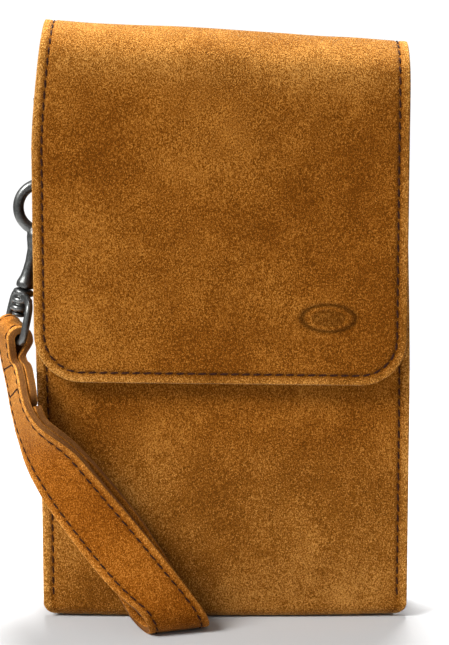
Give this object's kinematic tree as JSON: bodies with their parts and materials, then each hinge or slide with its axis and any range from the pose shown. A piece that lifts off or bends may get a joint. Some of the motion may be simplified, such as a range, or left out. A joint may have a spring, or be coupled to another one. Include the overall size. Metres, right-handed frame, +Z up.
{
  "type": "wristlet wallet",
  "caption": "Flap-top suede pouch on a flat base, with a side ring, a swivel snap hook and a stitched wrist strap that hangs in front.",
  "frame": {"origin": "centre of the pouch's flat base", "axes": "+X to the right seen from the front, +Y towards the back, +Z up"},
  "size_m": [0.1287, 0.0477, 0.1864],
  "materials": {
    "suede": "brushed suede",
    "strap_suede": "brushed suede",
    "lining": "matte split leather",
    "thread": "waxed thread",
    "gunmetal": "satin antique nickel",
    "snap_metal": "satin"
  },
  "bodies": {
    "pouch": {"body_wrap": "suede", "pocket_lining": "lining", "card_pocket": "lining", "gusset_left": "suede", "gusset_right": "suede", "snap_socket": "snap_metal", "snap_socket_washer": "snap_metal", "ring_tab": "suede"},
    "flap": {"flap_outer": "suede", "flap_lining": "lining", "snap_stud": "snap_metal", "snap_stud_washer": "snap_metal"},
    "ring": {"d_ring": "gunmetal"},
    "hook": {"hook_body": "gunmetal", "gate_pin": "gunmetal", "gate_spring": "gunmetal"},
    "gate": {"hook_gate": "gunmetal"},
    "eye": {"swivel_eye": "gunmetal"},
    "strap": {"strap_outer": "strap_suede", "strap_lining": "strap_suede"}
  },
  "joints": [
    {"name": "flap_fold", "type": "hinge", "parent": "pouch", "child": "flap", "pos_m": [0, 0.013, 0.16815], "axis": [-0.9988, 0, 0.0498], "range_deg": [0, 180]},
    {"name": "ring_swing", "type": "hinge", "parent": "pouch", "child": "ring", "pos_m": [-0.0555, 0, 0.1465], "axis": [0, 1, 0], "range_deg": [0, 90]},
    {"name": "hook_swing", "type": "hinge", "parent": "ring", "child": "hook", "pos_m": [-0.0555, 0, 0.13235], "axis": [0, 1, 0], "range_deg": [0, 60]},
    {"name": "gate_pivot", "type": "hinge", "parent": "hook", "child": "gate", "pos_m": [-0.05309, 0, 0.1212], "axis": [0, -1, 0], "range_deg": [0, 22], "stiffness_Nm_per_rad": 0.002, "springref_deg": -5.73},
    {"name": "eye_swivel", "type": "hinge", "parent": "hook", "child": "eye", "pos_m": [-0.0555, 0, 0.1282], "axis": [-0.225, 0, -0.9744], "range_deg": [0, 36]},
    {"name": "strap_swing", "type": "hinge", "parent": "eye", "child": "strap", "pos_m": [-0.06479, 0, 0.08796], "axis": [-0.3011, 0.9511, 0.0695], "range_deg": [0, 60]}
  ]
}
